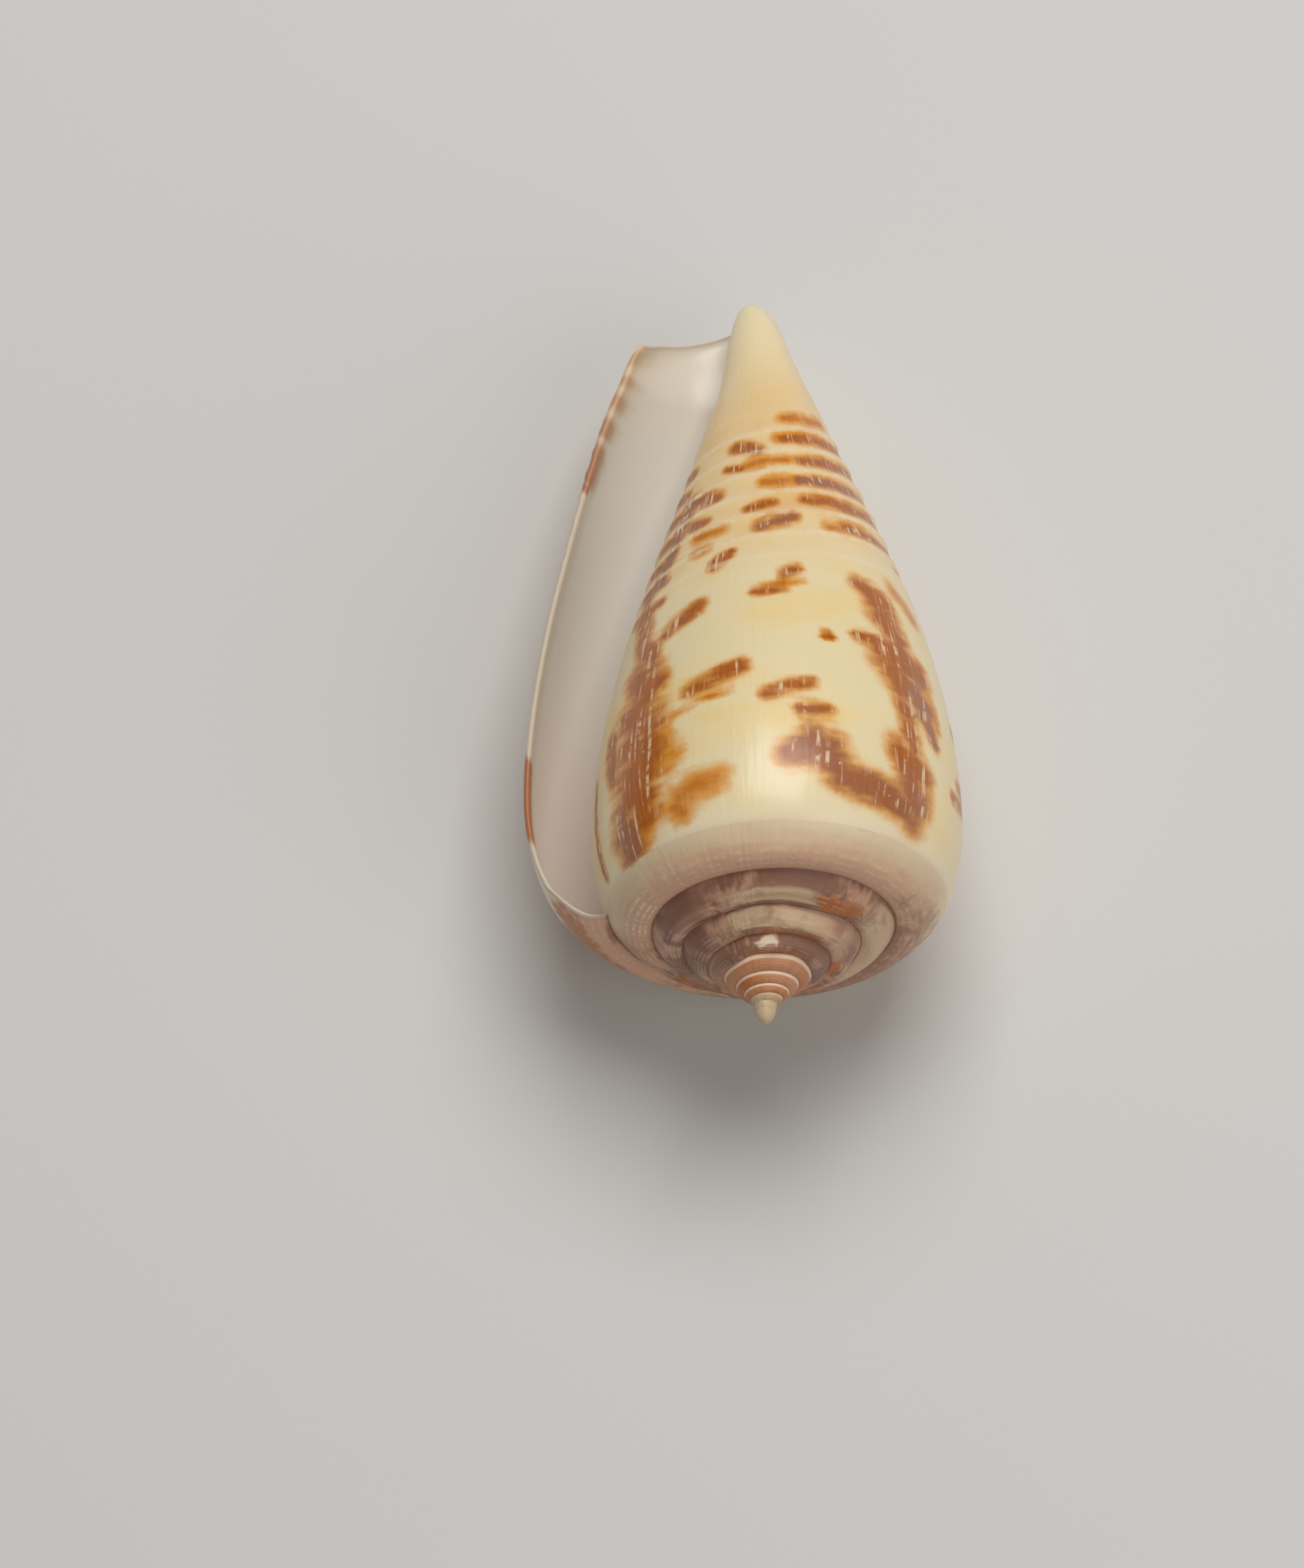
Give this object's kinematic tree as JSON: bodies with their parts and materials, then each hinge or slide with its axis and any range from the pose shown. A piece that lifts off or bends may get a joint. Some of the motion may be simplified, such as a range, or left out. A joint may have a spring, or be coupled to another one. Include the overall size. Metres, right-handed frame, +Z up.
{
  "type": "conus rokokorum shell",
  "caption": "Cone-shaped sea snail shell with a stepped pointed spire, a long narrow mouth and corded front end, lying on its back.",
  "frame": {"origin": "centre of the small flat spot on the back of the last whorl, on which the shell rests", "axes": "+Z up out of the rest spot, +Y along the shell towards its front end, with the apex towards -Y and raised 9 degrees, and the lip on the -X side"},
  "size_m": [0.0195, 0.0374, 0.0184],
  "materials": {
    "shell": "glossy cream shell with orange-brown and purple-brown flames, matt porcelain white inside the mouth"
  },
  "bodies": {
    "root": {"shell": "shell"}
  },
  "joints": []
}
